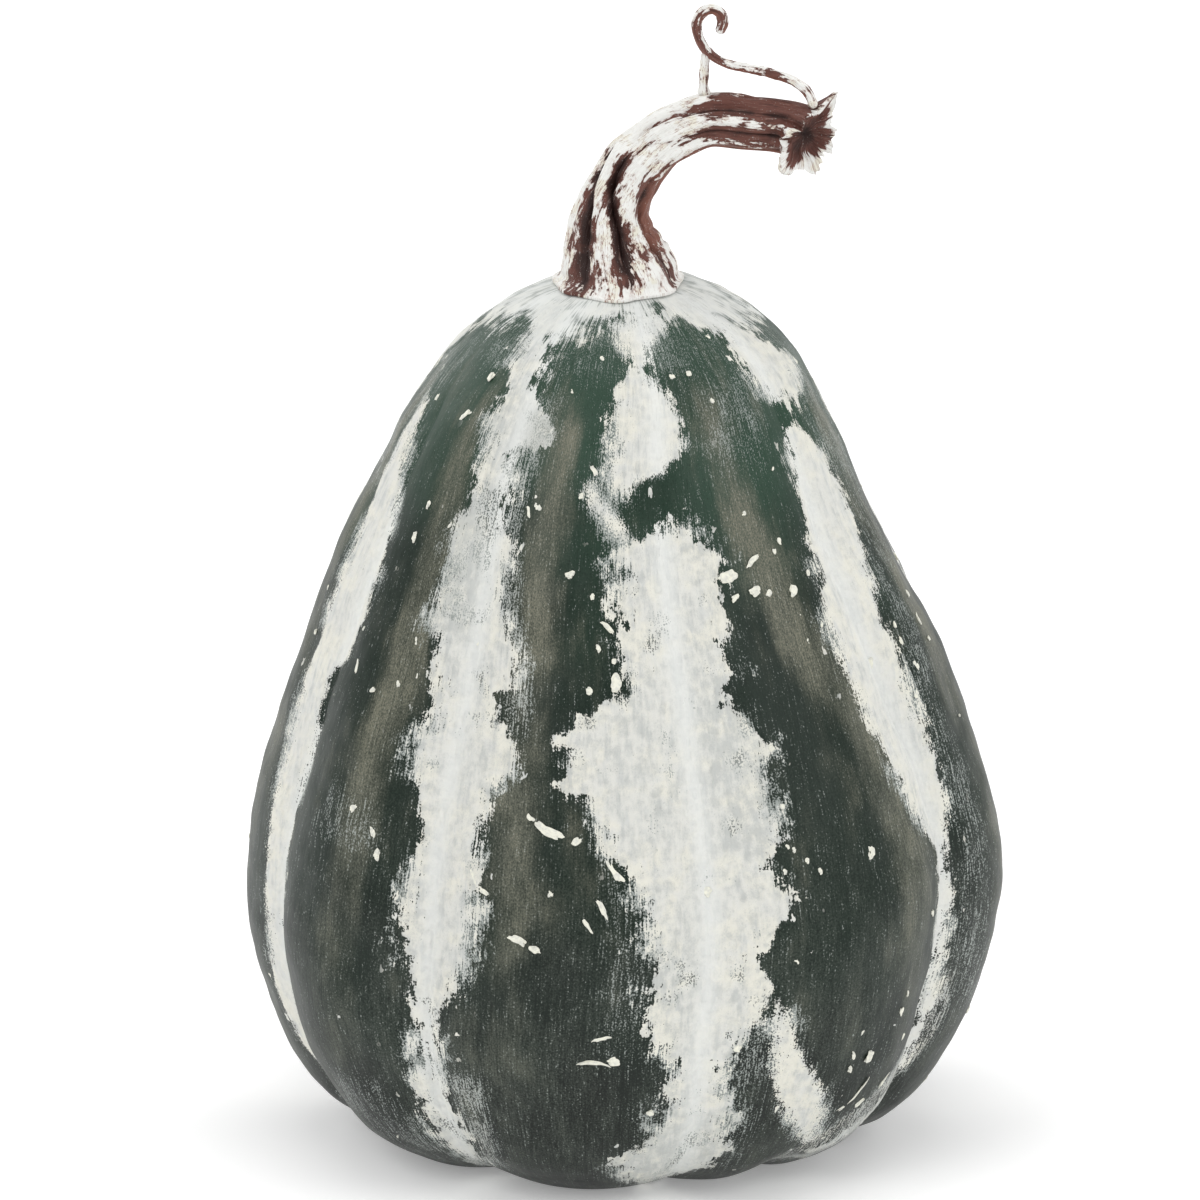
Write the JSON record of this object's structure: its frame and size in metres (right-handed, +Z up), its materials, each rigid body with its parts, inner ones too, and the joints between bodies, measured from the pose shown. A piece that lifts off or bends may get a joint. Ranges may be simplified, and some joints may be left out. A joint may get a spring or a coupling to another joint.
{
  "type": "ornamental cushaw squash",
  "caption": "Pear-shaped ribbed squash, dark green with distressed ivory stripes, standing upright, with an arched brown stem, a torn stem collar and a curled tendril.",
  "frame": {"origin": "centre of the footprint, on the surface that the squash stands on", "axes": "+Z up along the squash's axis from the blossom end to the stem, +X to the side that the stem bends over to, -Y to the front"},
  "size_m": [0.1912, 0.1891, 0.2962],
  "materials": {
    "squash_skin": "satin dark green paint with brown glazed rib crests and dry-brushed, chipped ivory paint in the grooves",
    "stem_paint": "satin red-brown paint under worn and chipped ivory paint",
    "tendril_paint": "satin red-brown paint with chipped ivory paint on its upper side"
  },
  "bodies": {
    "root": {"squash_body": "squash_skin", "stem": "stem_paint", "tendril": "tendril_paint"}
  },
  "joints": []
}
